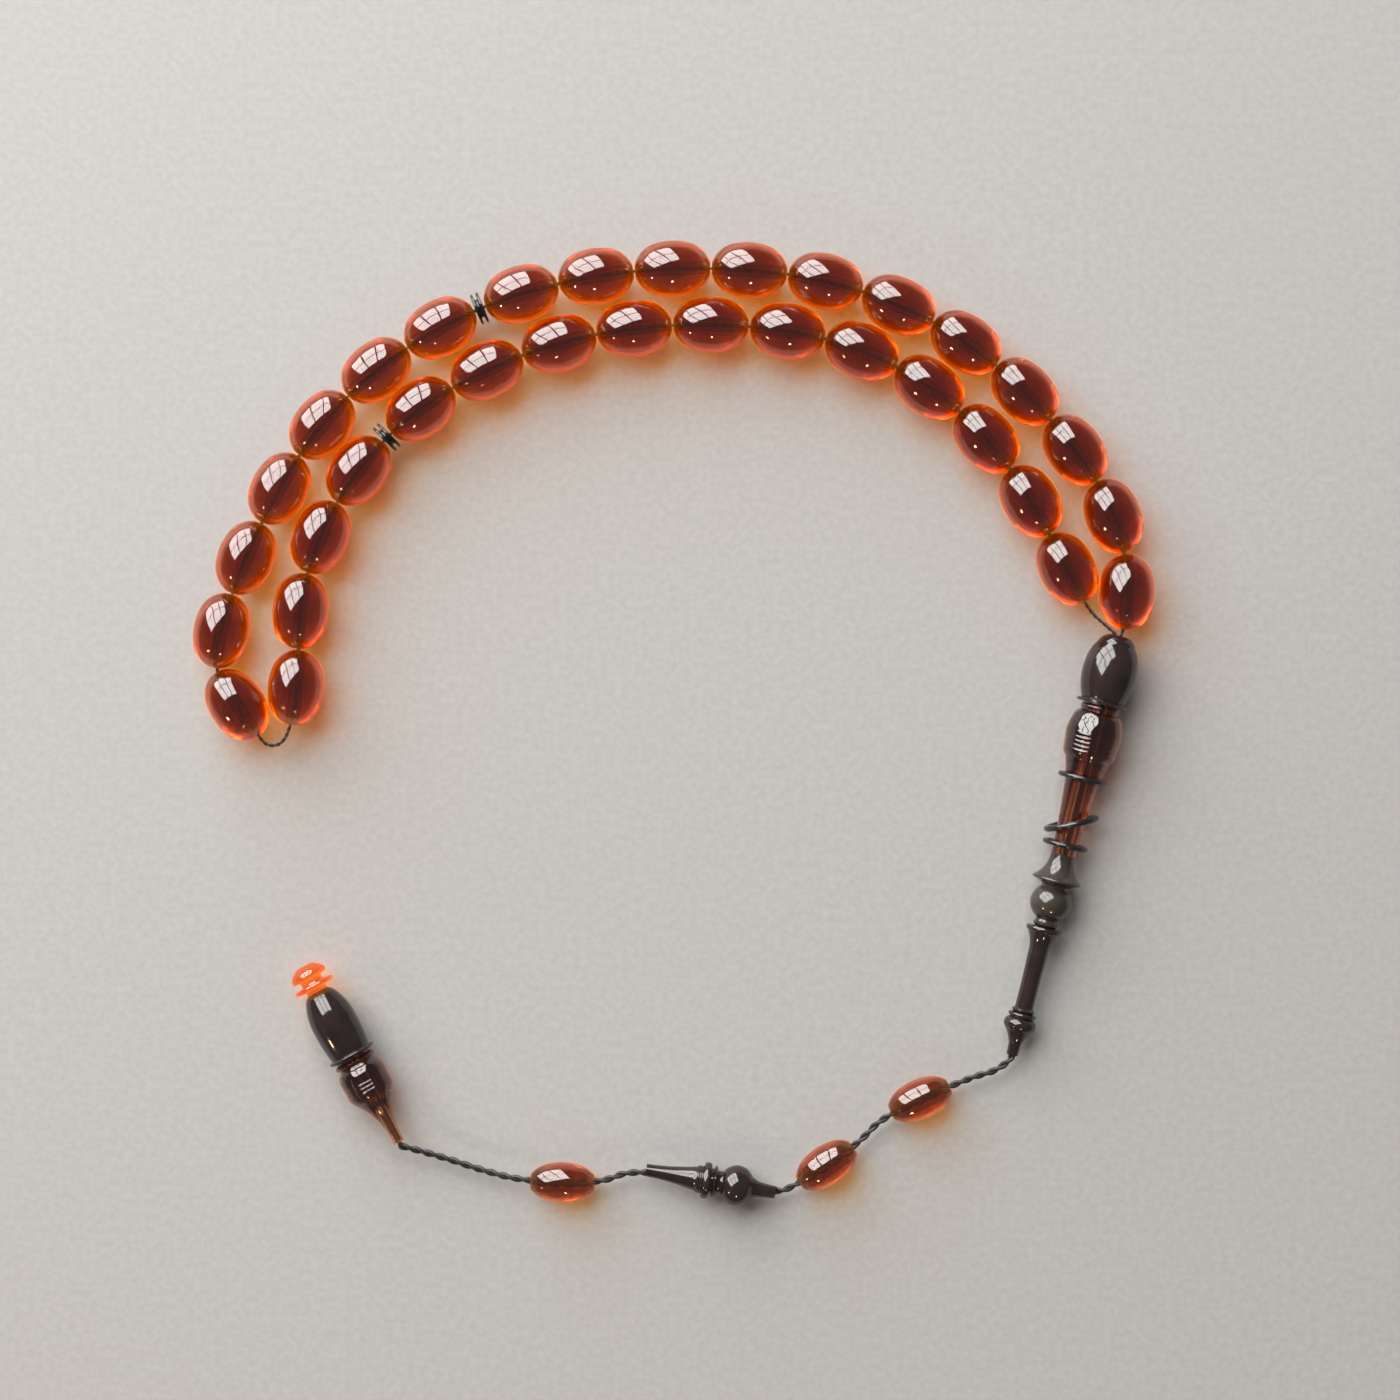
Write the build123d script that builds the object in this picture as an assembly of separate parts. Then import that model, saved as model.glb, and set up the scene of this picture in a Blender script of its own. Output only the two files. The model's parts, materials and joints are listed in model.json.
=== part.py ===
from build123d import *

import os
from math import atan, hypot, radians, tan

os.makedirs("parts", exist_ok=True)

# Misbaha, a string of 33 prayer beads with its tail, laid on a flat surface. Millimetres, +Z up.
# The origin is under the middle of the whole layout, on the surface.

# ---- driving dimensions -------------------------------------------------------------------------
BEADS = 33
BEAD_LENGTH = 12.0
BEAD_RADIUS = 4.5
BEAD_BORE = 0.7  # radius
BEAD_FACE = 1.0  # radius of the small flat at each end
BEAD_GAP = 0.27  # between two neighbours on the cord
BEAD_ONE_START = 1.3  # cord from the mouth of the imame to the first bead
TURN_GAPS = {1: 0.2, 17: 0.5, 18: 7.4}  # more bare cord after these beads, where the row bends

SEPARATOR_AFTER = (11, 22)
SEPARATOR_LENGTH = 1.5
SEPARATOR_RADIUS = 2.6

STRAND_RADIUS = 0.3  # one strand carries the beads
TAIL_RADIUS = 0.575  # two strands twisted together
FIT_GAP = 0.02  # left all round between a peg and its socket
TENON_SETBACK = 0.1  # from a peg's end to the bottom of its socket
HOLLOW_END = 60.0  # where the imame's bore narrows to the tip's
CORE_START = 0.75  # from the top of the imame down to the hidden cord's end
CORE_SETBACK = 0.35  # from a tip's face in to the hidden cord's end, clear of the tail cord

SMALL_BEAD_LENGTH = 10.2
SMALL_BEAD_RADIUS = 3.2
SMALL_BEAD_BORE = 1.0

IMAME_TOP = (70.5, 14.0, 5.0)
IMAME_HEADING = 255.9  # degrees in the plane, from the mouth to the tip
IMAME_PITCH = 1.5  # degrees that the tip hangs lower
IMAME_BORE = 0.85
TIP_BORE = 0.7
HEAD_END = 11.4
VASE_END = 36.0
BELL_END = 47.9
IMAME_LENGTH = 69.0
TENON_RADIUS = 1.35
TENON_LENGTH = 2.5

END_TIP = (-44.2, -66.8, 4.0)
END_HEADING = 118.5
END_VASE_END = 15.6
END_BARREL_END = 27.4
END_LENGTH = 32.0

# The loop strand leaves the mouth of the imame, runs through every bead and comes back to it.
LOOP_ROUTE = [
    (70.8, 13.9, 5.0),
    (71.5, 15.5, 4.8),
    (72.0, 19.0, 4.5),
    (72.0, 25.5, 4.5),
    (69.5, 35.0, 4.5),
    (62.5, 45.5, 4.5),
    (52.0, 57.0, 4.5),
    (37.5, 66.5, 4.5),
    (21.5, 71.5, 4.5),
    (3.5, 73.0, 4.5),
    (-14.5, 71.5, 4.5),
    (-32.0, 66.5, 4.5),
    (-48.0, 57.0, 4.5),
    (-59.5, 44.5, 4.5),
    (-67.0, 30.5, 4.5),
    (-71.2, 20.0, 4.5),
    (-73.6, 11.0, 4.5),
    (-73.2, 8.2, 4.5),
    (-70.3, 3.3, 4.5),
    (-66.6, -1.9, 4.5),
    (-65.4, -3.4, 4.5),
    (-63.4, -3.5, 4.5),
    (-61.9, -1.8, 4.5),
    (-60.7, 3.0, 4.5),
    (-60.2, 10.5, 4.5),
    (-60.0, 21.0, 4.5),
    (-54.6, 35.8, 4.5),
    (-43.2, 49.4, 4.5),
    (-27.3, 58.2, 4.5),
    (-10.5, 63.0, 4.5),
    (7.5, 64.0, 4.5),
    (24.5, 61.8, 4.5),
    (39.2, 55.3, 4.5),
    (51.2, 44.3, 4.5),
    (59.0, 31.5, 4.5),
    (63.4, 22.5, 4.5),
    (66.0, 17.8, 4.6),
    (68.6, 15.6, 4.8),
    (70.2, 14.1, 5.0),
]

# The twisted tail cord, from the tip of the imame to the end piece.
TAIL_ROUTE = [
    (53.5, -53.6, 3.2),
    (51.4, -55.6, 2.8),
    (47.0, -56.5, 3.2),
    (33.0, -62.7, 3.2),
    (29.2, -67.2, 3.2),
    (18.6, -74.2, 3.2),
    (15.4, -75.0, 3.3),
    (-6.5, -70.9, 3.3),
    (-12.2, -73.6, 3.2),
    (-24.6, -73.1, 3.2),
    (-31.5, -71.4, 2.4),
    (-38.6, -69.0, 2.6),
    (-43.9, -67.4, 4.0),
]

SMALL_BEAD_STATIONS = {1: 16.1, 2: 34.6, 3: 78.6}  # along the tail cord, to each middle
FINIAL_STATION = 54.4
FINIAL_LENGTH = 21.0
FINIAL_BORE = 0.8


# ---- helpers ------------------------------------------------------------------------------------
def save(solid, node):
    """Writes one piece to its own STEP file."""
    solid.label = node
    export_step(solid, f"parts/{node}.step")


def turned(outline, bore):
    """A lathe-turned piece about Z with a hole through it, or none. outline runs end to end:
    (z, r) is a straight line to there, and (z, r, bulge) an arc that stands bulge outside it."""
    start = outline[0]
    edges = []
    at = Vector(start[1], 0, start[0])
    for station in outline[1:]:
        to = Vector(station[1], 0, station[0])
        if len(station) == 3:
            along = (to - at).normalized()
            outward = Vector(along.Z, 0, -along.X)
            edges.append(ThreePointArc(at, (at + to) / 2 + outward * station[2], to))
        else:
            edges.append(Line(at, to))
        at = to
    low = Vector(bore, 0, start[0])
    high = Vector(bore, 0, outline[-1][0])
    edges.append(Line(at, high))
    edges.append(Line(high, low))
    edges.append(Line(low, Vector(start[1], 0, start[0])))
    return revolve(make_face(edges), Axis.Z)


def barrel_outline(length, radius, face):
    """The rounded barrel of a bead: two shoulder arcs and a flatter arc round its waist."""
    waist = length / 4
    waist_radius = radius * 0.896
    waist_bulge = radius - waist_radius
    waist_angle = 2 * atan(waist_bulge / waist)
    drop = waist_radius - face
    reach = length / 2 - waist
    shoulder_bulge = hypot(drop, reach) / 2 * tan((atan(drop / reach) - waist_angle) / 2)
    return [
        (-length / 2, face),
        (-waist, waist_radius, shoulder_bulge),
        (waist, waist_radius, waist_bulge),
        (length / 2, face, shoulder_bulge),
    ]


def bead(length, radius, bore, face):
    """A barrel bead drilled along Z, with the rims of its hole eased."""
    body = turned(barrel_outline(length, radius, face), bore)
    ease = (face - bore) * 0.6
    rims = body.edges().filter_by(GeomType.CIRCLE).group_by(SortBy.RADIUS)[0]
    return chamfer(rims, ease)


def ribs(start, end, count, start_radius, end_radius, bulge):
    """Outline stations of fine turned ribs between two heights."""
    stations = []
    for number in range(1, count + 1):
        share = number / count
        z = start + (end - start) * share
        r = start_radius + (end_radius - start_radius) * share
        stations.append((z, r, bulge))
    return stations


def fillet_radii(route):
    """The largest arcs that the runs of a route allow, one for each corner."""
    points = [Vector(*point) for point in route]
    radii = []
    for before, corner, after in zip(points, points[1:], points[2:]):
        into = corner - before
        out = after - corner
        turn = into.get_angle(out)
        reach = 0.45 * min(into.length, out.length)
        radii.append(reach / tan(radians(turn) / 2))
    return radii


def cord_path(route, name):
    """Straight runs joined by tangent arcs."""
    radii = fillet_radii(route)
    print(name, "arc radii", [round(radius, 1) for radius in radii])
    return FilletPolyline(*route, radius=radii)


def tube(path, radius, name):
    """A round cord along a path, with its volume compared with section times length."""
    section = Plane(path @ 0, z_dir=path % 0) * Circle(radius)
    solid = sweep(section, path=path)
    ratio = solid.volume / (section.area * path.length)
    print(name, "length", round(path.length, 1), "volume ratio", round(ratio, 4))
    return solid


def seat(path, station, length):
    """Where a drilled piece sits on a cord: its plane, with Z along the cord."""
    half = length / 2 - 0.2
    back = path.position_at(station - half, position_mode=PositionMode.LENGTH)
    middle = path.position_at(station, position_mode=PositionMode.LENGTH)
    front = path.position_at(station + half, position_mode=PositionMode.LENGTH)
    centre = (back + middle * 4 + front) / 6
    return Plane(centre, z_dir=front - back)


def heading_plane(origin, heading, pitch):
    """A plane at a piece's end, with Z along the piece."""
    along = Vector(1, 0, 0).rotate(Axis.Y, pitch).rotate(Axis.Z, heading)
    return Plane(origin, x_dir=Vector(0, 0, 1).cross(along), z_dir=along)


# ---- the string of beads ------------------------------------------------------------------------
loop_path = cord_path(LOOP_ROUTE, "loop_cord")
tail_path = cord_path(TAIL_ROUTE, "tail_cord")


def string_stations():
    """Distances along the loop strand to the middle of each bead and each separator."""
    beads = {}
    separators = {}
    at = BEAD_ONE_START
    for number in range(1, BEADS + 1):
        beads[number] = at + BEAD_LENGTH / 2
        at += BEAD_LENGTH + BEAD_GAP + TURN_GAPS.get(number, 0)
        if number in SEPARATOR_AFTER:
            separators[len(separators) + 1] = at + SEPARATOR_LENGTH / 2
            at += SEPARATOR_LENGTH + BEAD_GAP
    return beads, separators


def separator():
    """A tiny spool that marks eleven beads: two thin flanges and a waist."""
    half = SEPARATOR_LENGTH / 2
    flange = 0.5
    waist = SEPARATOR_RADIUS * 0.62
    outline = [
        (-half, 1.3),
        (-half + 0.1, SEPARATOR_RADIUS - 0.15),
        (-half + flange, SEPARATOR_RADIUS - 0.15, 0.14),
        (-half + flange, waist),
        (half - flange, waist, -0.08),
        (half - flange, SEPARATOR_RADIUS - 0.15),
        (half - 0.1, SEPARATOR_RADIUS - 0.15, 0.14),
        (half, 1.3),
    ]
    return turned(outline, BEAD_BORE)


bead_stations, separator_stations = string_stations()
BEAD_SEATS = {n: seat(loop_path, s, BEAD_LENGTH) for n, s in bead_stations.items()}
SEPARATOR_SEATS = {n: seat(loop_path, s, SEPARATOR_LENGTH) for n, s in separator_stations.items()}


# ---- the imame, the long turned head piece ------------------------------------------------------
IMAME_PLANE = heading_plane(IMAME_TOP, IMAME_HEADING, IMAME_PITCH)


def imame_head():
    """Barrel head with a wide mouth for both strands, and a thin collar under it."""
    outline = [
        (0.0, 1.45),
        (1.5, 3.05, 0.3),
        (4.6, 4.25, 0.24),
        (10.6, 3.45, 0.42),
        (10.75, 3.6),
        (10.85, 3.95),
        (11.3, 3.95, 0.12),
        (11.4, 3.6),
        (HEAD_END, 2.4),
    ]
    body = turned(outline, IMAME_BORE)
    mouth = Pos(0, 0, 0.4) * Cone(1.3, IMAME_BORE, 0.8)
    socket = Pos(0, 0, HEAD_END - TENON_LENGTH / 2) * Cylinder(TENON_RADIUS, TENON_LENGTH)
    return body - mouth - socket


def tenon(z):
    """The peg that joins two imame pieces, pointing to the top."""
    ring = Circle(TENON_RADIUS - FIT_GAP) - Circle(IMAME_BORE)
    return Pos(0, 0, z - TENON_LENGTH + TENON_SETBACK) * extrude(ring, TENON_LENGTH - TENON_SETBACK)


def imame_vase():
    """Ribbed vase that tapers into a long slim stem."""
    outline = [
        (HEAD_END, 2.75),
        (11.7, 3.05, 0.1),
        (12.3, 3.05, 0.12),
        (12.5, 3.0),
        (14.0, 4.05, 0.22),
        (16.2, 4.5, 0.08),
        *ribs(16.2, 19.7, 5, 4.5, 4.1, 0.09),
        (20.4, 3.65, 0.04),
        (22.9, 2.95, -0.05),
        (25.0, 2.62, -0.05),
        (31.9, 2.06, -0.03),
        (VASE_END, 1.95),
    ]
    body = turned(outline, IMAME_BORE)
    socket = Pos(0, 0, VASE_END - TENON_LENGTH / 2) * Cylinder(TENON_RADIUS, TENON_LENGTH)
    return body + tenon(HEAD_END) - socket


def imame_bell():
    """A flared bell, a ball under it and a small ring."""
    outline = [
        (VASE_END, 1.95),
        (40.0, 3.85, -0.55),
        (40.35, 3.9, 0.06),
        (40.6, 3.3),
        (41.1, 2.2),
        (41.5, 2.15),
        (46.4, 2.0, 1.25),
        (46.7, 1.7),
        (47.1, 1.8),
        (47.7, 1.8, 0.22),
        (BELL_END, 1.6),
    ]
    body = turned(outline, IMAME_BORE)
    socket = Pos(0, 0, BELL_END - TENON_LENGTH / 2) * Cylinder(TENON_RADIUS, TENON_LENGTH)
    return body + tenon(VASE_END) - socket


def imame_finial():
    """Flange, trumpet, slender stem, two small rings, a knob and the pointed tip."""
    outline = [
        (BELL_END, 2.3),
        (48.0, 2.75),
        (48.7, 2.75, 0.14),
        (48.9, 2.5),
        (52.4, 1.6, -0.28),
        (61.3, 1.48, -0.06),
        (61.5, 1.75),
        (61.9, 1.75, 0.1),
        (62.0, 1.55),
        (62.2, 2.15),
        (62.7, 2.15, 0.1),
        (62.9, 1.9),
        (64.6, 2.45, 0.42),
        (67.2, 1.0, -0.16),
        (IMAME_LENGTH, 0.92),
    ]
    body = turned(outline, TIP_BORE)
    hollow = Pos(0, 0, (BELL_END + HOLLOW_END) / 2) * Cylinder(IMAME_BORE, HOLLOW_END - BELL_END)
    return body - hollow + tenon(BELL_END)


def ring(radius, section_radius):
    """A loose ring of round stock round the imame's stem."""
    return Torus(radius - section_radius, section_radius)


# A loose ring hangs on the stem or stands on the surface. station is along the imame, drop is how
# far its middle is under the imame's axis, and lean how far it is turned from square, in degrees.
RINGS = {
    "ring_upper": {"radius": 4.0, "stock": 0.42, "station": 23.4, "drop": 0.0, "lean": 0.0},
    "ring_middle": {"radius": 4.5, "stock": 0.5, "station": 30.8, "drop": -0.31, "lean": 26.0},
    "ring_lower": {"radius": 3.7, "stock": 0.45, "station": 34.4, "drop": 0.38, "lean": 0.0},
}


def ring_plane(spec):
    """The plane that a ring lies in, with Z along its axis."""
    along = IMAME_PLANE.z_dir
    level = Vector(along.X, along.Y, 0).normalized() if spec["lean"] else along
    middle = IMAME_PLANE.origin + along * spec["station"] - Vector(0, 0, spec["drop"])
    return Plane(middle, z_dir=level.rotate(Axis.Z, spec["lean"]))


# ---- the tail -----------------------------------------------------------------------------------
def tail_finial():
    """A turned drop on the tail: a long horn, ridges, two discs, a ball and a short neck."""
    outline = [
        (0.0, 1.0),
        (8.0, 1.95, -0.2),
        (8.2, 2.1),
        *ribs(8.2, 9.2, 3, 2.1, 2.2, 0.08),
        (9.2, 2.7),
        (10.3, 2.8, 0.2),
        (10.45, 2.1),
        (10.75, 2.1),
        (10.85, 2.45),
        (11.3, 2.45, 0.12),
        (11.5, 1.9),
        (12.3, 1.9, -0.05),
        (17.0, 1.9, 1.35),
        (18.8, 1.15, -0.15),
        (FINIAL_LENGTH, 0.97),
    ]
    return Pos(0, 0, -FINIAL_LENGTH / 2) * turned(outline, FINIAL_BORE)


# ---- the end piece ------------------------------------------------------------------------------
END_PLANE = heading_plane(END_TIP, END_HEADING, 0)
POCKET_RADIUS = 1.1  # of the room for the knot
POCKET_DEPTH = 2.1
KNOT_RADIUS = 0.93
KNOT_STATION = END_BARREL_END - POCKET_DEPTH / 2


def end_vase():
    """Thin tip, swelling ribbed vase and the black neck above it."""
    outline = [
        (0.0, 0.92),
        (4.6, 1.35, -0.16),
        (8.4, 3.35, -0.2),
        (9.3, 3.75, 0.06),
        *ribs(9.3, 12.0, 4, 3.75, 3.85, 0.1),
        (13.9, 3.1, 0.28),
        (14.3, 2.95),
        (14.5, 3.3),
        (15.1, 3.3, 0.14),
        (15.3, 2.9),
        (END_VASE_END, 2.9),
    ]
    body = turned(outline, TIP_BORE)
    socket = Pos(0, 0, END_VASE_END - TENON_LENGTH / 2) * Cylinder(TENON_RADIUS, TENON_LENGTH)
    return body - socket


def end_barrel():
    """Barrel with a thin collar, a peg into the vase and the knot's pocket in its far end."""
    outline = [
        (END_VASE_END, 3.5),
        (15.75, 3.75),
        (16.2, 3.75, 0.12),
        (16.4, 3.3),
        (21.2, 3.68, 0.12),
        (26.2, 2.7, 0.32),
        (END_BARREL_END, 1.7, 0.12),
    ]
    body = turned(outline, TIP_BORE)
    pocket = Pos(0, 0, END_BARREL_END - POCKET_DEPTH / 2) * Cylinder(POCKET_RADIUS, POCKET_DEPTH)
    peg = Circle(TENON_RADIUS - FIT_GAP) - Circle(TIP_BORE)
    peg = Pos(0, 0, END_VASE_END - TENON_LENGTH + TENON_SETBACK) * extrude(peg, TENON_LENGTH - TENON_SETBACK)
    return body + peg - pocket


def end_button():
    """The solid button that covers the knot: a disc, a waist and a cone-topped cap."""
    outline = [
        (END_BARREL_END, 1.75),
        (27.95, 1.75),
        (28.05, 3.2),
        (28.75, 3.2, 0.16),
        (28.85, 1.95),
        (29.7, 1.9, -0.12),
        (29.85, 2.75),
        (30.5, 2.95, 0.1),
        (31.6, 1.9, 0.12),
        (END_LENGTH, 1.1, 0.08),
    ]
    return turned(outline, 0.0)


def end_knot():
    """The knot that holds the end of the cord, in the barrel's pocket."""
    return Pos(0, 0, KNOT_STATION) * Sphere(KNOT_RADIUS)


def straight_cord(start, end, radius):
    """A straight length of cord along Z."""
    return Pos(0, 0, start) * extrude(Circle(radius), end - start)


# ---- writing the pieces -------------------------------------------------------------------------
for number, where in BEAD_SEATS.items():
    piece = bead(BEAD_LENGTH, BEAD_RADIUS, BEAD_BORE, BEAD_FACE)
    save(where.location * piece, f"bead_{number:02d}")

for number, where in SEPARATOR_SEATS.items():
    save(where.location * separator(), f"separator_{number}")

save(tube(loop_path, STRAND_RADIUS, "loop_cord"), "loop_cord")

for node, make in (
    ("imame_head", imame_head),
    ("imame_vase", imame_vase),
    ("imame_bell", imame_bell),
    ("imame_finial", imame_finial),
):
    save(IMAME_PLANE.location * make(), node)

for node, spec in RINGS.items():
    save(ring_plane(spec).location * ring(spec["radius"], spec["stock"]), node)

core = straight_cord(CORE_START, IMAME_LENGTH - CORE_SETBACK, TAIL_RADIUS)
save(IMAME_PLANE.location * core, "core_cord")

tail_cord = tube(tail_path, TAIL_RADIUS, "tail_cord")
for end in (TAIL_ROUTE[0], TAIL_ROUTE[-1]):
    tail_cord += Pos(*end) * Sphere(TAIL_RADIUS)
save(tail_cord, "tail_cord")

SMALL_SEATS = {n: seat(tail_path, s, SMALL_BEAD_LENGTH) for n, s in SMALL_BEAD_STATIONS.items()}
for number, where in SMALL_SEATS.items():
    piece = bead(SMALL_BEAD_LENGTH, SMALL_BEAD_RADIUS, SMALL_BEAD_BORE, SMALL_BEAD_BORE + 0.25)
    save(where.location * piece, f"tail_bead_{number}")

FINIAL_SEAT = seat(tail_path, FINIAL_STATION, FINIAL_LENGTH)
facing = Rot(180, 0, 0)
save(FINIAL_SEAT.location * facing * tail_finial(), "tail_finial")

for node, make in (
    ("end_vase", end_vase),
    ("end_barrel", end_barrel),
    ("end_button", end_button),
    ("end_knot", end_knot),
):
    save(END_PLANE.location * make(), node)

end_core = straight_cord(CORE_SETBACK, KNOT_STATION - KNOT_RADIUS - FIT_GAP, TAIL_RADIUS)
save(END_PLANE.location * end_core, "end_cord")
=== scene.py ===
import json
import math

import bpy
from mathutils import Matrix, Vector


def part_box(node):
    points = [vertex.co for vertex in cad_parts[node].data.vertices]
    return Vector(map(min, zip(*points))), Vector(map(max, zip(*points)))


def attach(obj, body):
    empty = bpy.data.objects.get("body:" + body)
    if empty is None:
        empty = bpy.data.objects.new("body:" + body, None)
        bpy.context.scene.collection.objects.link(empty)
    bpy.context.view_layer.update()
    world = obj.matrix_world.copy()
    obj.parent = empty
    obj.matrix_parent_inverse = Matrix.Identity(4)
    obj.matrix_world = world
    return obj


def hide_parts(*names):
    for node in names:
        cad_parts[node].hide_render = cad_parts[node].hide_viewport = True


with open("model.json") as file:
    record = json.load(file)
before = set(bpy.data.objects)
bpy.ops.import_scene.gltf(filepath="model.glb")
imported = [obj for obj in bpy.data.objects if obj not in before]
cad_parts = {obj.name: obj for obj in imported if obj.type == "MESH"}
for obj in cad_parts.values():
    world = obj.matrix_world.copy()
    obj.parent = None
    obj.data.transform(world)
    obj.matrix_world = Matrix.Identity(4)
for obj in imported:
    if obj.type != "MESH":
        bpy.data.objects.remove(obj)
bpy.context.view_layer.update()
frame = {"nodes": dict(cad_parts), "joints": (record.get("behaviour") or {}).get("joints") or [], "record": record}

MM = 0.001
RECORD = frame["record"]
JOINTS = {joint["child"]: joint for joint in frame["joints"]}

# ---- the object's sizes, in metres ---------------------------------------------------------------
BEAD_LENGTH = 12.0 * MM
BEAD_RADIUS = 4.5 * MM
BEAD_BORE = 0.7 * MM
BEAD_FACE = 1.0 * MM
SMALL_LENGTH = 10.2 * MM
SMALL_RADIUS = 3.2 * MM
SMALL_BORE = 1.1 * MM  # a little wider than in the CAD, to clear the lumps of the twisted cord
SMALL_FACE = 1.25 * MM
STRAND_LAY = 2.0 * MM  # length of one full turn of its two plies
TAIL_LAY = 4.2 * MM  # length of one full turn of the two strands
IMAME_LENGTH = 69.0 * MM
IMAME_BORE = 0.85 * MM
TIP_BORE = 0.7 * MM
NO_BORE = 0.0
FINIAL_LENGTH = 21.0 * MM
FINIAL_BORE = 0.8 * MM
END_TIP = Vector((-0.0442, -0.0668, 0.004))
END_HEADING = math.radians(118.5)

# ---- the camera, looking straight down ------------------------------------------------------------
FOCAL_LENGTH = 70.0
SENSOR_WIDTH = 36.0
FRAME_WIDTH = 0.2232  # of the surface, seen across the picture
VIEW_CENTRE = (0.0038, 0.0038)
FRAME_HEIGHT = 0.0045  # above the floor, where the picture is FRAME_WIDTH wide


def make_camera():
    data = bpy.data.cameras.new("camera")
    data.lens = FOCAL_LENGTH
    data.sensor_width = SENSOR_WIDTH
    data.clip_start = 0.01
    data.clip_end = 10.0
    camera = bpy.data.objects.new("camera", data)
    height = FRAME_WIDTH * FOCAL_LENGTH / SENSOR_WIDTH
    camera.location = (*VIEW_CENTRE, height + FRAME_HEIGHT)
    bpy.context.scene.collection.objects.link(camera)
    bpy.context.scene.camera = camera


make_camera()


# ---- node helpers ---------------------------------------------------------------------------------
NOISE_LOW, NOISE_HIGH = 0.3, 0.7  # where nearly all of a noise's values lie


def new_material(name):
    material = bpy.data.materials.new(name)
    material.use_nodes = True
    tree = material.node_tree
    tree.nodes.clear()
    return material, tree


def node(tree, kind, **sockets):
    """Adds a shader node and sets its sockets by name."""
    made = tree.nodes.new(kind)
    for key, value in sockets.items():
        made.inputs[key.replace("_", " ")].default_value = value
    return made


def noise(tree, scale, detail=3.0, roughness=0.5):
    """Fine noise in the object's own metres."""
    place = tree.nodes.new("ShaderNodeTexCoord")
    made = node(tree, "ShaderNodeTexNoise", Scale=scale, Detail=detail, Roughness=roughness)
    tree.links.new(place.outputs["Object"], made.inputs["Vector"])
    return made


def mapped(tree, source, low, high):
    """A noise value moved into the range low to high."""
    made = tree.nodes.new("ShaderNodeMapRange")
    made.inputs["From Min"].default_value = NOISE_LOW
    made.inputs["From Max"].default_value = NOISE_HIGH
    made.inputs["To Min"].default_value = low
    made.inputs["To Max"].default_value = high
    tree.links.new(source, made.inputs["Value"])
    return made.outputs["Result"]


def tinted(tree, source, dark, light):
    """A colour that wanders between two shades with a noise value."""
    ramp = tree.nodes.new("ShaderNodeValToRGB")
    ramp.color_ramp.elements[0].position = NOISE_LOW
    ramp.color_ramp.elements[0].color = (*dark, 1.0)
    ramp.color_ramp.elements[1].position = NOISE_HIGH
    ramp.color_ramp.elements[1].color = (*light, 1.0)
    tree.links.new(source, ramp.inputs["Fac"])
    return ramp.outputs["Color"]


def bump(tree, source, strength, distance):
    made = node(tree, "ShaderNodeBump", Strength=strength, Distance=distance)
    tree.links.new(source, made.inputs["Height"])
    return made.outputs["Normal"]


# ---- materials ------------------------------------------------------------------------------------
RESIN_IOR = 1.54
WALL_CLEARNESS = 0.78  # share of the light that passes a hole's wall


def absorbing(tree, out, colour, density):
    """Light is lost with the depth that it travels through the material."""
    depth = node(tree, "ShaderNodeVolumeAbsorption", Color=(*colour, 1.0), Density=density)
    tree.links.new(depth.outputs["Volume"], out.inputs["Volume"])


def blend(tree, first, second, share=0.5):
    """A mix of two shaders, share of it the second."""
    made = node(tree, "ShaderNodeMixShader", Fac=share)
    tree.links.new(first, made.inputs[1])
    tree.links.new(second, made.inputs[2])
    return made


def clear_resin(name, dark, light, rim, absorbed, density, glow, milkiness):
    """Polished transparent resin whose rim glow is painted, by a sheen in the rim colour. Lamps shine through it,
    tinted by its depth.
    """
    material, tree = new_material(name)
    out = tree.nodes.new("ShaderNodeOutputMaterial")
    body = node(
        tree,
        "ShaderNodeBsdfPrincipled",
        IOR=RESIN_IOR,
        Transmission_Weight=1.0,
        Coat_Weight=0.6,
        Coat_Roughness=0.02,
        Coat_IOR=1.6,
        # the sheen in the rim colour paints an orange glow along the edges
        Sheen_Weight=0.9,
        Sheen_Roughness=0.35,
        Sheen_Tint=(*rim, 1.0),
    )
    swirl = noise(tree, 260.0, 4.0)
    fine = noise(tree, 1400.0, 2.0)
    tree.links.new(tinted(tree, swirl.outputs["Fac"], dark, light), body.inputs["Base Color"])
    tree.links.new(mapped(tree, fine.outputs["Fac"], 0.015, 0.05), body.inputs["Roughness"])
    tree.links.new(bump(tree, swirl.outputs["Fac"], 0.06, 0.0003), body.inputs["Normal"])
    milk = node(tree, "ShaderNodeBsdfTranslucent", Color=(*glow, 1.0))
    milky = blend(tree, body.outputs["BSDF"], milk.outputs["BSDF"], milkiness)
    lets_through = node(tree, "ShaderNodeBsdfTransparent", Color=(0.97, 0.93, 0.88, 1.0))
    mix = blend(tree, milky.outputs["Shader"], lets_through.outputs["BSDF"])
    rays = tree.nodes.new("ShaderNodeLightPath")
    tree.links.new(rays.outputs["Is Shadow Ray"], mix.inputs["Fac"])
    tree.links.new(mix.outputs["Shader"], out.inputs["Surface"])
    absorbing(tree, out, absorbed, density)
    return material


def painted_shade_core(name, absorbed, density):
    """The darker heart of a bead, painted shade that stands in for the dark floor and the shadow under the bead
    seen through the resin: no edge of its own, only depth.
    """
    material, tree = new_material(name)
    out = tree.nodes.new("ShaderNodeOutputMaterial")
    skin = node(tree, "ShaderNodeBsdfTransparent")
    cloud = noise(tree, 420.0, 4.0)
    haze = tinted(tree, cloud.outputs["Fac"], (0.86, 0.80, 0.78), (1.0, 1.0, 1.0))
    tree.links.new(haze, skin.inputs["Color"])
    tree.links.new(skin.outputs["BSDF"], out.inputs["Surface"])
    absorbing(tree, out, absorbed, density)
    return material


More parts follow.
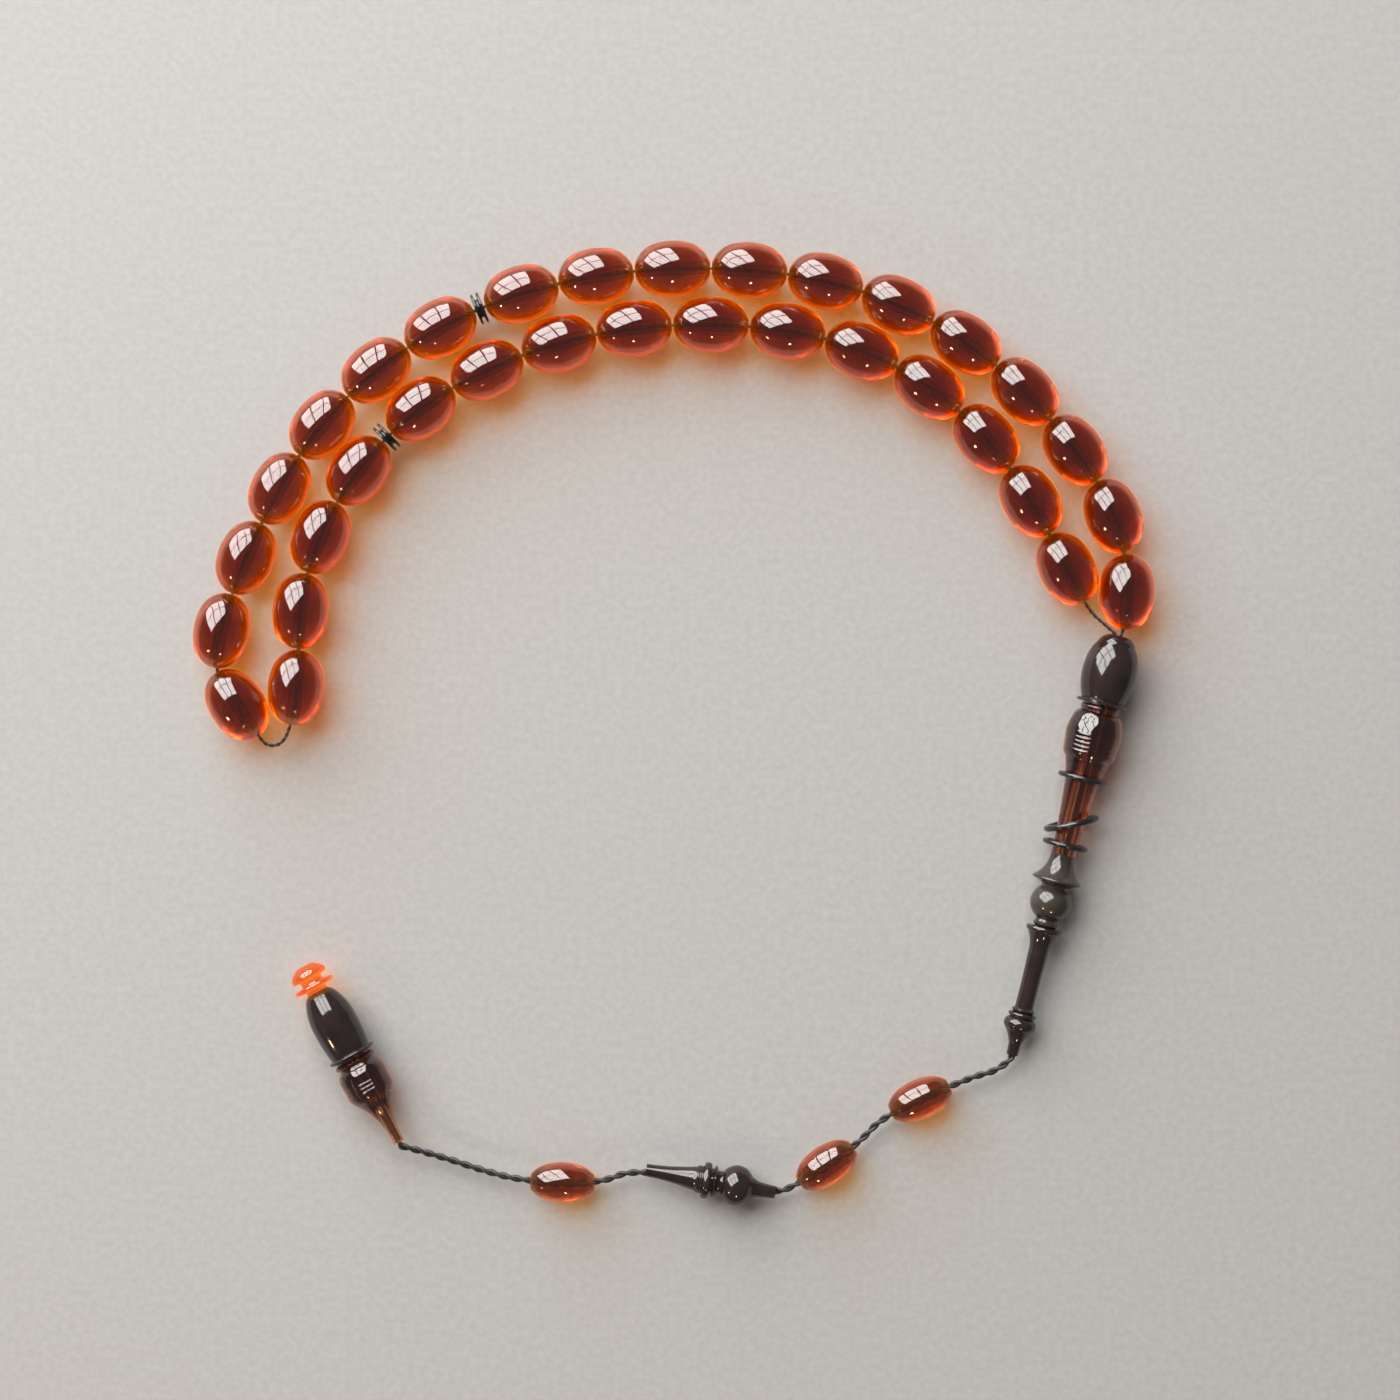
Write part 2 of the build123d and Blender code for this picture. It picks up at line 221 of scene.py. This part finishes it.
def drilled_wall(name):
    """The dull wall of a drilled hole, seen through the resin."""
    material, tree = new_material(name)
    out = tree.nodes.new("ShaderNodeOutputMaterial")
    dull = node(tree, "ShaderNodeBsdfPrincipled", Roughness=0.7)
    grain = noise(tree, 2600.0, 3.0)
    shade = tinted(tree, grain.outputs["Fac"], (0.03, 0.014, 0.008), (0.10, 0.045, 0.02))
    tree.links.new(shade, dull.inputs["Base Color"])
    through = node(tree, "ShaderNodeBsdfTransparent", Color=(0.8, 0.7, 0.62, 1.0))
    mix = blend(tree, dull.outputs["BSDF"], through.outputs["BSDF"], WALL_CLEARNESS)
    tree.links.new(mix.outputs["Shader"], out.inputs["Surface"])
    return material


def dark_resin(name, dark, light, glow, glow_weight, roughness):
    """Polished near-black resin with a faint warm depth."""
    material, tree = new_material(name)
    out = tree.nodes.new("ShaderNodeOutputMaterial")
    body = node(
        tree,
        "ShaderNodeBsdfPrincipled",
        IOR=RESIN_IOR,
        Coat_Weight=0.2,
        Coat_Roughness=0.04,
        Subsurface_Weight=glow_weight,
        Subsurface_Radius=glow,
        Subsurface_Scale=0.003,
    )
    cloud = noise(tree, 300.0, 4.0)
    fine = noise(tree, 1800.0, 3.0)
    tree.links.new(tinted(tree, cloud.outputs["Fac"], dark, light), body.inputs["Base Color"])
    smooth = mapped(tree, fine.outputs["Fac"], roughness * 0.7, roughness * 1.5)
    tree.links.new(smooth, body.inputs["Roughness"])
    tree.links.new(bump(tree, fine.outputs["Fac"], 0.05, 0.0001), body.inputs["Normal"])
    tree.links.new(body.outputs["BSDF"], out.inputs["Surface"])
    return material


def thread(name, dark, light):
    """Waxed dark thread with fine fibres."""
    material, tree = new_material(name)
    out = tree.nodes.new("ShaderNodeOutputMaterial")
    body = node(tree, "ShaderNodeBsdfPrincipled", Sheen_Weight=0.1, Sheen_Roughness=0.4)
    fibres = noise(tree, 5200.0, 4.0, 0.6)
    tree.links.new(tinted(tree, fibres.outputs["Fac"], dark, light), body.inputs["Base Color"])
    tree.links.new(mapped(tree, fibres.outputs["Fac"], 0.3, 0.5), body.inputs["Roughness"])
    tree.links.new(bump(tree, fibres.outputs["Fac"], 0.5, 0.0001), body.inputs["Normal"])
    tree.links.new(body.outputs["BSDF"], out.inputs["Surface"])
    return material


AMBER = clear_resin(
    "amber",
    dark=(0.96, 0.80, 0.42),
    light=(1.0, 0.90, 0.55),
    # painted rim glow, laid on as sheen colour
    rim=(1.0, 0.26, 0.0),
    absorbed=(0.98, 0.74, 0.0),
    density=620.0,
    glow=(1.0, 0.42, 0.05),
    milkiness=0.07,
)
BROWN = clear_resin(
    "brown",
    dark=(0.85, 0.55, 0.36),
    light=(0.95, 0.70, 0.50),
    # painted rim glow, laid on as sheen colour
    rim=(0.50, 0.13, 0.02),
    absorbed=(0.58, 0.26, 0.0),
    density=760.0,
    glow=(1.0, 0.35, 0.06),
    milkiness=0.06,
)
ORANGE = clear_resin(
    "orange",
    dark=(1.0, 0.50, 0.14),
    light=(1.0, 0.60, 0.20),
    # painted rim glow, laid on as sheen colour
    rim=(1.0, 0.25, 0.02),
    absorbed=(1.0, 0.52, 0.02),
    density=260.0,
    glow=(1.0, 0.42, 0.04),
    milkiness=0.2,
)
# painted shade: a dark core in place of the dark floor and shadow seen through each bead
PAINTED_SHADE = painted_shade_core("amber_painted_shade", absorbed=(0.35, 0.08, 0.0), density=480.0)
DRILLED = drilled_wall("drilled_wall")
DARK = dark_resin(
    "dark",
    dark=(0.010, 0.006, 0.006),
    light=(0.022, 0.013, 0.012),
    glow=(1.0, 0.3, 0.1),
    glow_weight=0.1,
    roughness=0.09,
)
BRONZE = dark_resin(
    "bronze",
    dark=(0.02, 0.016, 0.012),
    light=(0.04, 0.034, 0.026),
    glow=(1.0, 0.4, 0.1),
    glow_weight=0.1,
    roughness=0.15,
)
BLACK = dark_resin(
    "black",
    dark=(0.006, 0.006, 0.007),
    light=(0.014, 0.013, 0.014),
    glow=(1.0, 1.0, 1.0),
    glow_weight=0.0,
    roughness=0.14,
)
THREAD = thread("thread", dark=(0.004, 0.004, 0.0045), light=(0.016, 0.0155, 0.016))


# ---- mesh helpers ---------------------------------------------------------------------------------
WALL_STEPS = 6  # bands of faces down the wall of a hole
ARC_STEP = 0.25 * MM  # the length of a face along an arc of an outline
SHARP_ANGLE = math.radians(32)
FINE_SEGMENTS = 96  # round a large turned piece


def arc_points(start, end, bulge, steps):
    """Points after start, up to end, on the arc that stands bulge outside their chord."""
    (z0, r0), (z1, r1) = start, end
    length = math.hypot(z1 - z0, r1 - r0)
    out_z, out_r = -(r1 - r0) / length, (z1 - z0) / length
    half = length / 2
    radius = (half * half + bulge * bulge) / (2 * abs(bulge))
    spread = math.asin(min(1.0, half / radius))
    side = 1.0 if bulge > 0 else -1.0
    centre_z = (z0 + z1) / 2 + out_z * (bulge - side * radius)
    centre_r = (r0 + r1) / 2 + out_r * (bulge - side * radius)
    along_z, along_r = (z1 - z0) / length, (r1 - r0) / length
    points = []
    for step in range(1, steps + 1):
        angle = -spread + 2 * spread * step / steps
        reach, rise = math.sin(angle) * radius, math.cos(angle) * radius * side
        points.append(
            (centre_z + along_z * reach + out_z * rise, centre_r + along_r * reach + out_r * rise)
        )
    return points


def outline_points(outline):
    """The points of an outline in mm: (z, r) goes straight there, (z, r, bulge) along an arc."""
    points = [(outline[0][0] * MM, outline[0][1] * MM)]
    for station in outline[1:]:
        end = (station[0] * MM, station[1] * MM)
        if len(station) == 3:
            chord = math.hypot(end[0] - points[-1][0], end[1] - points[-1][1])
            steps = max(3, min(16, round(chord / ARC_STEP)))
            points += arc_points(points[-1], end, station[2] * MM, steps)
        else:
            points.append(end)
    return points


def placed(name, mesh):
    """A new object of the scene that shows the mesh."""
    made = bpy.data.objects.new(name, mesh)
    bpy.context.scene.collection.objects.link(made)
    return made


def lathe(name, outline, bore, where, segments=72):
    """Turns an outline about Z, with a hole through it or none, and stands it at where."""
    outside = outline_points(outline)
    low, high = outside[0][0], outside[-1][0]
    wall = []
    if bore:
        wall = [(high + (low - high) * step / WALL_STEPS, bore) for step in range(WALL_STEPS + 1)]
    rows = outside + wall
    vertices = []
    for z, r in rows:
        for turn in range(segments):
            angle = 2 * math.pi * turn / segments
            vertices.append(where @ Vector((r * math.cos(angle), r * math.sin(angle), z)))
    faces, wall_faces = [], []
    bands = len(rows) if wall else len(rows) - 1
    for row in range(bands):
        following = (row + 1) % len(rows)
        for turn in range(segments):
            after = (turn + 1) % segments
            if len(outside) <= row < len(rows) - 1:
                wall_faces.append(len(faces))
            faces.append(
                (
                    row * segments + turn,
                    row * segments + after,
                    following * segments + after,
                    following * segments + turn,
                )
            )
    if not wall:
        faces.append(tuple(range(segments - 1, -1, -1)))
        faces.append(tuple(range(bands * segments, (bands + 1) * segments)))
    mesh = bpy.data.meshes.new(name)
    mesh.from_pydata(vertices, [], faces)
    mesh.update()
    for polygon in mesh.polygons:
        polygon.use_smooth = True
    fix_normals(mesh)
    mesh.set_sharp_from_angle(angle=SHARP_ANGLE)
    return placed(name, mesh), wall_faces


def fix_normals(mesh):
    """Turns the faces outwards if the closed mesh is inside out."""
    volume = 0.0
    for polygon in mesh.polygons:
        corners = [mesh.vertices[i].co for i in polygon.vertices]
        for second, third in zip(corners[1:], corners[2:]):
            volume += corners[0].dot(second.cross(third))
    if volume < 0:
        mesh.flip_normals()


def dress(turned, material, wall=None):
    """Gives a turned piece its material, and another to the wall of its hole."""
    piece, wall_faces = turned
    piece.data.materials.append(material)
    if wall is not None:
        piece.data.materials.append(wall)
        for index in wall_faces:
            piece.data.polygons[index].material_index = 1
    return piece


def seat(centre, axis):
    """A frame with Z along axis, at centre."""
    turn = Vector((0, 0, 1)).rotation_difference(Vector(axis).normalized())
    return Matrix.Translation(centre) @ turn.to_matrix().to_4x4()


def middle(name):
    low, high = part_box(name)
    return (Vector(low) + Vector(high)) / 2


def put(piece, name):
    """The piece stands for a CAD node, on that node's body."""
    body = next(b for b, members in RECORD["behaviour"]["bodies"].items() if name in members)
    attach(piece, body)
    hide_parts(name)


# ---- beads ----------------------------------------------------------------------------------------
WAIST_SHARE = 0.896  # of a bead's radius, where its flatter waist arc meets a shoulder arc
CORE_SHARE = 0.56  # of the bead's radius; the skin's refraction shows it half as large again
HOLE_EASE = 0.18  # mm that a hole's mouth is sunk below the bead's end face


def barrel_outline(length, radius, face):
    """The rounded barrel of a bead, in millimetres: shoulder arcs and a flatter waist arc."""
    length, radius, face = length / MM, radius / MM, face / MM
    waist = length / 4
    waist_radius = radius * WAIST_SHARE
    waist_bulge = radius - waist_radius
    waist_angle = 2 * math.atan(waist_bulge / waist)
    drop = waist_radius - face
    reach = length / 2 - waist
    bevel = math.tan((math.atan(drop / reach) - waist_angle) / 2)
    shoulder_bulge = math.hypot(drop, reach) / 2 * bevel
    return [
        (-length / 2, face),
        (-waist, waist_radius, shoulder_bulge),
        (waist, waist_radius, waist_bulge),
        (length / 2, face, shoulder_bulge),
    ]


def core_of(name, length, radius, bore, where):
    """The dark heart of a bead, painted shade well inside its clear skin and clear of its hole."""
    return lathe(name, barrel_outline(length, radius, bore * 1.5), bore * 1.12, where, 48)


def make_bead(name, length, radius, bore, face):
    """A clear skin that stands for the CAD bead, and a dark core of painted shade that rides with it."""
    where = seat(middle(name), JOINTS[name]["axis"])
    outline = barrel_outline(length, radius, face)
    half, hole = length / 2 / MM, bore / MM
    eased = [(-half + HOLE_EASE, hole), *outline, (half - HOLE_EASE, hole)]
    skin = dress(lathe(name + "_resin", eased, bore, where), AMBER, DRILLED)
    put(skin, name)
    core_length = length - 2 * radius * (1 - CORE_SHARE)
    core = dress(core_of(name + "_core", core_length, radius * CORE_SHARE, bore, where), PAINTED_SHADE)
    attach(core, name)


for number in range(1, 34):
    make_bead(f"bead_{number:02d}", BEAD_LENGTH, BEAD_RADIUS, BEAD_BORE, BEAD_FACE)

for number in range(1, 4):
    make_bead(f"tail_bead_{number}", SMALL_LENGTH, SMALL_RADIUS, SMALL_BORE, SMALL_FACE)


# ---- separators -----------------------------------------------------------------------------------
SPOOL = [  # two thin flanges and a waist
    (-0.75, 1.3),
    (-0.65, 2.45),
    (-0.25, 2.45, 0.14),
    (-0.25, 1.61),
    (0.25, 1.61, -0.08),
    (0.25, 2.45),
    (0.65, 2.45, 0.14),
    (0.75, 1.3),
]
for name in ("separator_1", "separator_2"):
    where = seat(middle(name), JOINTS[name]["axis"])
    spool = lathe(name + "_spool", SPOOL, BEAD_BORE, where)
    put(dress(spool, BLACK), name)


# ---- the imame ------------------------------------------------------------------------------------
IMAME = seat(JOINTS["loop"]["pos_m"], JOINTS["ring_upper"]["axis"])
IMAME_TIP = IMAME @ Vector((0.0, 0.0, IMAME_LENGTH))


def ribs(start, end, count, start_radius, end_radius, bulge):
    """Outline stations of fine turned ribs between two heights."""
    stations = []
    for number in range(1, count + 1):
        share = number / count
        radius = start_radius + (end_radius - start_radius) * share
        stations.append((start + (end - start) * share, radius, bulge))
    return stations


HEAD = [
    (0.55, 0.95),
    (0.0, 1.4),
    (0.0, 1.45),
    (1.5, 3.05, 0.3),
    (4.6, 4.25, 0.24),
    (10.6, 3.45, 0.42),
    (10.75, 3.6),
    (10.85, 3.95),
    (11.3, 3.95, 0.12),
    (11.38, 3.6),
    (11.38, 2.4),
]
VASE = [
    (11.42, 2.75),
    (11.7, 3.05, 0.1),
    (12.3, 3.05, 0.12),
    (12.5, 3.0),
    (14.0, 4.05, 0.22),
    (16.2, 4.5, 0.08),
    *ribs(16.2, 19.7, 5, 4.5, 4.1, 0.09),
    (20.4, 3.65, 0.04),
    (22.9, 2.95, -0.05),
    (25.0, 2.62, -0.05),
    (31.9, 2.06, -0.03),
    (35.99, 1.95),
]
BELL = [
    (36.01, 1.95),
    (40.0, 3.85, -0.55),
    (40.35, 3.9, 0.06),
    (40.6, 3.3),
    (41.1, 2.2),
    (41.5, 2.15),
    (46.4, 2.0, 1.25),
    (46.7, 1.7),
    (47.1, 1.8),
    (47.7, 1.8, 0.22),
    (47.89, 1.6),
]
FINIAL = [
    (47.91, 2.3),
    (48.0, 2.75),
    (48.7, 2.75, 0.14),
    (48.9, 2.5),
    (52.4, 1.6, -0.28),
    (61.3, 1.48, -0.06),
    (61.5, 1.75),
    (61.9, 1.75, 0.1),
    (62.0, 1.55),
    (62.2, 2.15),
    (62.7, 2.15, 0.1),
    (62.9, 1.9),
    (64.6, 2.45, 0.42),
    (67.2, 1.0, -0.16),
    (69.0, 0.92),
]
for name, outline, bore, material, slot_name in (
    ("imame_head", HEAD, IMAME_BORE, DARK, "dark_resin"),
    ("imame_vase", VASE, IMAME_BORE, BROWN, "brown_resin"),
    ("imame_bell", BELL, IMAME_BORE, BRONZE, "dark_resin"),
    ("imame_finial", FINIAL, TIP_BORE, DARK, "dark_resin"),
):
    turned = lathe(name + "_turned", outline, bore, IMAME, FINE_SEGMENTS)
    put(dress(turned, material), name)


# ---- loose rings ----------------------------------------------------------------------------------
RING_STOCK = {"ring_upper": 0.42 * MM, "ring_middle": 0.5 * MM, "ring_lower": 0.45 * MM}
RING_FLAT = 0.82  # depth of a ring's inside half, as a share of a round section
MIDDLE_LEAN = math.radians(26.0)


def ring_axis(name):
    """The upper and lower rings stand square to the stem, and the middle one leans."""
    axis = Vector(JOINTS["ring_upper"]["axis"])
    if name == "ring_middle":
        axis.z = 0.0
        axis.rotate(Matrix.Rotation(MIDDLE_LEAN, 3, "Z"))
    return axis.normalized()


def make_ring(name):
    """A turned ring: a rounded outside and a slightly flattened inside."""
    low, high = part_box(name)
    outer = (high[2] - low[2]) / 2
    stock = RING_STOCK[name]
    where = seat(middle(name), ring_axis(name))
    around, about = 96, 20
    centre = outer - stock
    vertices, faces = [], []
    for turn in range(around):
        angle = 2 * math.pi * turn / around
        for step in range(about):
            roll = 2 * math.pi * step / about
            flat = RING_FLAT if math.cos(roll) < 0 else 1.0
            r = centre + stock * math.cos(roll) * flat
            z = stock * math.sin(roll)
            vertices.append(where @ Vector((r * math.cos(angle), r * math.sin(angle), z)))
            following, beside = (turn + 1) % around, (step + 1) % about
            faces.append(
                (
                    turn * about + step,
                    following * about + step,
                    following * about + beside,
                    turn * about + beside,
                )
            )
    mesh = bpy.data.meshes.new(name + "_turned")
    mesh.from_pydata(vertices, [], faces)
    for polygon in mesh.polygons:
        polygon.use_smooth = True
    fix_normals(mesh)
    mesh.materials.append(BLACK)
    put(placed(name + "_turned", mesh), name)


for name in RING_STOCK:
    make_ring(name)


# ---- the tail's turned drop -----------------------------------------------------------------------
DROP = [
    (0.0, 1.0),
    (8.0, 1.95, -0.2),
    (8.2, 2.1),
    *ribs(8.2, 9.2, 3, 2.1, 2.2, 0.08),
    (9.2, 2.7),
    (10.3, 2.8, 0.2),
    (10.45, 2.1),
    (10.75, 2.1),
    (10.85, 2.45),
    (11.3, 2.45, 0.12),
    (11.5, 1.9),
    (12.3, 1.9, -0.05),
    (17.0, 1.9, 1.35),
    (18.8, 1.15, -0.15),
    (21.0, 0.97),
]
drop_axis = -Vector(JOINTS["tail_finial"]["axis"])
drop_at = seat(Vector(JOINTS["tail_finial"]["pos_m"]) - drop_axis * FINIAL_LENGTH / 2, drop_axis)
drop = lathe("tail_finial_turned", DROP, FINIAL_BORE, drop_at, FINE_SEGMENTS)
put(dress(drop, DARK), "tail_finial")


# ---- the end piece --------------------------------------------------------------------------------
END = seat(END_TIP, (math.cos(END_HEADING), math.sin(END_HEADING), 0.0))
END_VASE = [
    (0.0, 0.92),
    (4.6, 1.35, -0.16),
    (8.4, 3.35, -0.2),
    (9.3, 3.75, 0.06),
    *ribs(9.3, 12.0, 4, 3.75, 3.85, 0.1),
    (13.9, 3.1, 0.28),
    (14.3, 2.95),
    (14.5, 3.3),
    (15.1, 3.3, 0.14),
    (15.3, 2.9),
    (15.59, 2.9),
]
END_BARREL = [
    (15.61, 3.5),
    (15.75, 3.75),
    (16.2, 3.75, 0.12),
    (16.4, 3.3),
    (21.2, 3.68, 0.12),
    (26.2, 2.7, 0.32),
    (27.39, 1.7, 0.12),
]
END_BUTTON = [
    (27.41, 1.75),
    (27.95, 1.75),
    (28.05, 3.2),
    (28.75, 3.2, 0.16),
    (28.85, 1.95),
    (29.7, 1.9, -0.12),
    (29.85, 2.75),
    (30.5, 2.95, 0.1),
    (31.6, 1.9, 0.12),
    (32.0, 1.1, 0.08),
]
for name, outline, bore, material, slot_name in (
    ("end_vase", END_VASE, TIP_BORE, BROWN, "brown_resin"),
    ("end_barrel", END_BARREL, TIP_BORE, DARK, "dark_resin"),
    ("end_button", END_BUTTON, NO_BORE, ORANGE, "orange_resin"),
):
    turned = lathe(name + "_turned", outline, bore, END, FINE_SEGMENTS)
    put(dress(turned, material), name)


# ---- cords ----------------------------------------------------------------------------------------
LINE_STEP = 0.2 * MM  # between the points of a cord's centreline


def metres(route):
    return [Vector(point) * MM for point in route]


LOOP_ROUTE = metres([
    (70.8, 13.9, 5.0),
    (71.5, 15.5, 4.8),
    (72.0, 19.0, 4.5),
    (72.0, 25.5, 4.5),
    (69.5, 35.0, 4.5),
    (62.5, 45.5, 4.5),
    (52.0, 57.0, 4.5),
    (37.5, 66.5, 4.5),
    (21.5, 71.5, 4.5),
    (3.5, 73.0, 4.5),
    (-14.5, 71.5, 4.5),
    (-32.0, 66.5, 4.5),
    (-48.0, 57.0, 4.5),
    (-59.5, 44.5, 4.5),
    (-67.0, 30.5, 4.5),
    (-71.2, 20.0, 4.5),
    (-73.6, 11.0, 4.5),
    (-73.2, 8.2, 4.5),
    (-70.3, 3.3, 4.5),
    (-66.6, -1.9, 4.5),
    (-65.4, -3.4, 4.5),
    (-63.4, -3.5, 4.5),
    (-61.9, -1.8, 4.5),
    (-60.7, 3.0, 4.5),
    (-60.2, 10.5, 4.5),
    (-60.0, 21.0, 4.5),
    (-54.6, 35.8, 4.5),
    (-43.2, 49.4, 4.5),
    (-27.3, 58.2, 4.5),
    (-10.5, 63.0, 4.5),
    (7.5, 64.0, 4.5),
    (24.5, 61.8, 4.5),
    (39.2, 55.3, 4.5),
    (51.2, 44.3, 4.5),
    (59.0, 31.5, 4.5),
    (63.4, 22.5, 4.5),
    (66.0, 17.8, 4.6),
    (68.6, 15.6, 4.8),
    (70.2, 14.1, 5.0),
])
TAIL_ROUTE = metres([
    (53.5, -53.6, 3.2),
    (51.4, -55.6, 2.8),
    (47.0, -56.5, 3.2),
    (33.0, -62.7, 3.2),
    (29.2, -67.2, 3.2),
    (18.6, -74.2, 3.2),
    (15.4, -75.0, 3.3),
    (-6.5, -70.9, 3.3),
    (-12.2, -73.6, 3.2),
    (-24.6, -73.1, 3.2),
    (-31.5, -71.4, 2.4),
    (-38.6, -69.0, 2.6),
    (-43.9, -67.4, 4.0),
])


def smooth_line(name, route):
    """One smooth NURBS line whose control points are the route."""
    curve = bpy.data.curves.new(name, "CURVE")
    curve.dimensions = "3D"
    curve.resolution_u = 16
    spline = curve.splines.new("NURBS")
    spline.points.add(len(route) - 1)
    for point, place in zip(spline.points, route):
        point.co = (*place, 1.0)
    spline.order_u = 3
    spline.use_endpoint_u = True
    return placed(name, curve)


def followed(route):
    """Points read from the route's smooth line."""
    line = smooth_line("line", route)
    mesh = bpy.data.meshes.new_from_object(line)
    points = [vertex.co.copy() for vertex in mesh.vertices]
    bpy.data.meshes.remove(mesh)
    bpy.data.objects.remove(line)
    return points


def even_steps(points, step):
    """The same line with its points one step apart."""
    spaced = [points[0]]
    left = step
    for a, b in zip(points, points[1:]):
        span = (b - a).length
        while span > 0 and left <= span:
            a = a.lerp(b, left / span)
            spaced.append(a)
            span = (b - a).length
            left = step
        left -= span
    return spaced + [points[-1]]


def strands(name, centreline, plies, ply_radius, offset, lay, sides):
    """A cord of plies twisted about its centreline, as one mesh."""
    vertices, faces = [], []
    for ply in range(plies):
        side = Vector((0, 0, 1)).cross(centreline[1] - centreline[0]).normalized()
        run = 0.0
        start = len(vertices)
        for index, place in enumerate(centreline):
            ahead = centreline[min(index + 1, len(centreline) - 1)]
            behind = centreline[max(index - 1, 0)]
            along = (ahead - behind).normalized()
            side = (side - along * side.dot(along)).normalized()
            up = along.cross(side)
            if index:
                run += (place - centreline[index - 1]).length
            twist = 2 * math.pi * (run / lay + ply / plies)
            middle_of_ply = place + (side * math.cos(twist) + up * math.sin(twist)) * offset
            for corner in range(sides):
                angle = 2 * math.pi * corner / sides + twist
                vertices.append(
                    middle_of_ply + (side * math.cos(angle) + up * math.sin(angle)) * ply_radius
                )
            if index:
                row = start + index * sides
                for corner in range(sides):
                    after = (corner + 1) % sides
                    faces.append(
                        (row + corner, row + after, row + after - sides, row + corner - sides)
                    )
        faces.append(tuple(range(start + sides - 1, start - 1, -1)))
        last = start + (len(centreline) - 1) * sides
        faces.append(tuple(range(last, last + sides)))
    mesh = bpy.data.meshes.new(name)
    mesh.from_pydata(vertices, [], faces)
    for polygon in mesh.polygons:
        polygon.use_smooth = len(polygon.vertices) == 4
    mesh.materials.append(THREAD)
    return placed(name, mesh)


def lay_cord(piece, body, cad_node):
    """The piece stands for a CAD cord, on the given body."""
    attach(piece, body)
    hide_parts(cad_node)


loop_line = even_steps(followed(LOOP_ROUTE), LINE_STEP)
loop_strand = strands("loop_strand", loop_line, 2, 0.165 * MM, 0.135 * MM, STRAND_LAY, 10)
lay_cord(loop_strand, "loop", "loop_cord")

# the tail is run on to the mouths that it comes out of and goes into
tail_line = even_steps([IMAME_TIP, *followed(TAIL_ROUTE), END_TIP], LINE_STEP)
tail_strand = strands("tail_twist", tail_line, 2, 0.31 * MM, 0.265 * MM, TAIL_LAY, 14)
lay_cord(tail_strand, "tail", "tail_cord")

# the cords and the knot inside the turned pieces keep their CAD shape
for name in ("core_cord", "end_cord", "end_knot"):
    frame["nodes"][name].data.materials.clear()
    frame["nodes"][name].data.materials.append(THREAD)


# ---- floor and light ------------------------------------------------------------------------------
FLOOR_HALF = 2.0
PANE_COLUMNS, PANE_ROWS = 3, 2
PANE_WIDTH, PANE_HEIGHT, PANE_BAR = 0.40, 0.656, 0.048
PANE_POWER = 7.7
WINDOW_LIGHT = (1.0, 0.985, 0.96)
LAMP_LIGHT = (1.0, 0.66, 0.30)


def make_floor():
    mesh = bpy.data.meshes.new("floor")
    half = FLOOR_HALF
    mesh.from_pydata(
        [(-half, -half, 0), (half, -half, 0), (half, half, 0), (-half, half, 0)], [], [(0, 1, 2, 3)]
    )
    floor = placed("floor", mesh)
    material, tree = new_material("floor")
    out = tree.nodes.new("ShaderNodeOutputMaterial")
    body = node(tree, "ShaderNodeBsdfPrincipled", Roughness=0.75)
    grain = noise(tree, 900.0, 4.0)
    shade = tinted(tree, grain.outputs["Fac"], (0.285, 0.283, 0.278), (0.32, 0.317, 0.311))
    tree.links.new(shade, body.inputs["Base Color"])
    tree.links.new(bump(tree, grain.outputs["Fac"], 0.12, 0.0003), body.inputs["Normal"])
    tree.links.new(body.outputs["BSDF"], out.inputs["Surface"])
    mesh.materials.append(material)


def area_light(name, place, target, size, power, colour):
    data = bpy.data.lights.new(name, "AREA")
    data.shape = "RECTANGLE"
    data.size, data.size_y = size
    data.energy = power
    data.color = colour
    light = placed(name, data)
    light.location = place
    aim = Vector(target) - Vector(place)
    light.rotation_euler = aim.to_track_quat("-Z", "Y").to_euler()


def window_panes():
    """A window of panes up and to the left of the object."""
    centre = Vector((-0.48, 0.74, 0.64))
    facing = (Vector((0, 0, 0)) - centre).normalized()
    across = facing.cross(Vector((0, 0, 1))).normalized()
    up = across.cross(facing).normalized()
    for column in range(PANE_COLUMNS):
        for row in range(PANE_ROWS):
            sideways = (column - (PANE_COLUMNS - 1) / 2) * (PANE_WIDTH + PANE_BAR)
            rise = (row - (PANE_ROWS - 1) / 2) * (PANE_HEIGHT + PANE_BAR)
            place = centre + across * sideways + up * rise
            name = f"pane_{column}_{row}"
            size = (PANE_WIDTH, PANE_HEIGHT)
            area_light(name, place, place + facing, size, PANE_POWER, WINDOW_LIGHT)


def make_world():
    world = bpy.data.worlds.new("studio")
    world.use_nodes = True
    back = world.node_tree.nodes["Background"]
    back.inputs["Color"].default_value = (0.80, 0.83, 0.88, 1.0)
    back.inputs["Strength"].default_value = 0.2
    bpy.context.scene.world = world


make_floor()
window_panes()
area_light("warm_lamp_1", (-0.50, -0.41, 0.36), (0, 0, 0), (0.06, 0.06), 0.7, LAMP_LIGHT)
area_light("warm_lamp_2", (0.02, -0.62, 0.40), (0, 0, 0), (0.05, 0.05), 0.5, LAMP_LIGHT)
make_world()

scene = bpy.context.scene
scene.cycles.max_bounces = 24
scene.cycles.transmission_bounces = 16
scene.cycles.transparent_max_bounces = 32
scene.cycles.use_denoising = True
scene.view_settings.view_transform = "Standard"
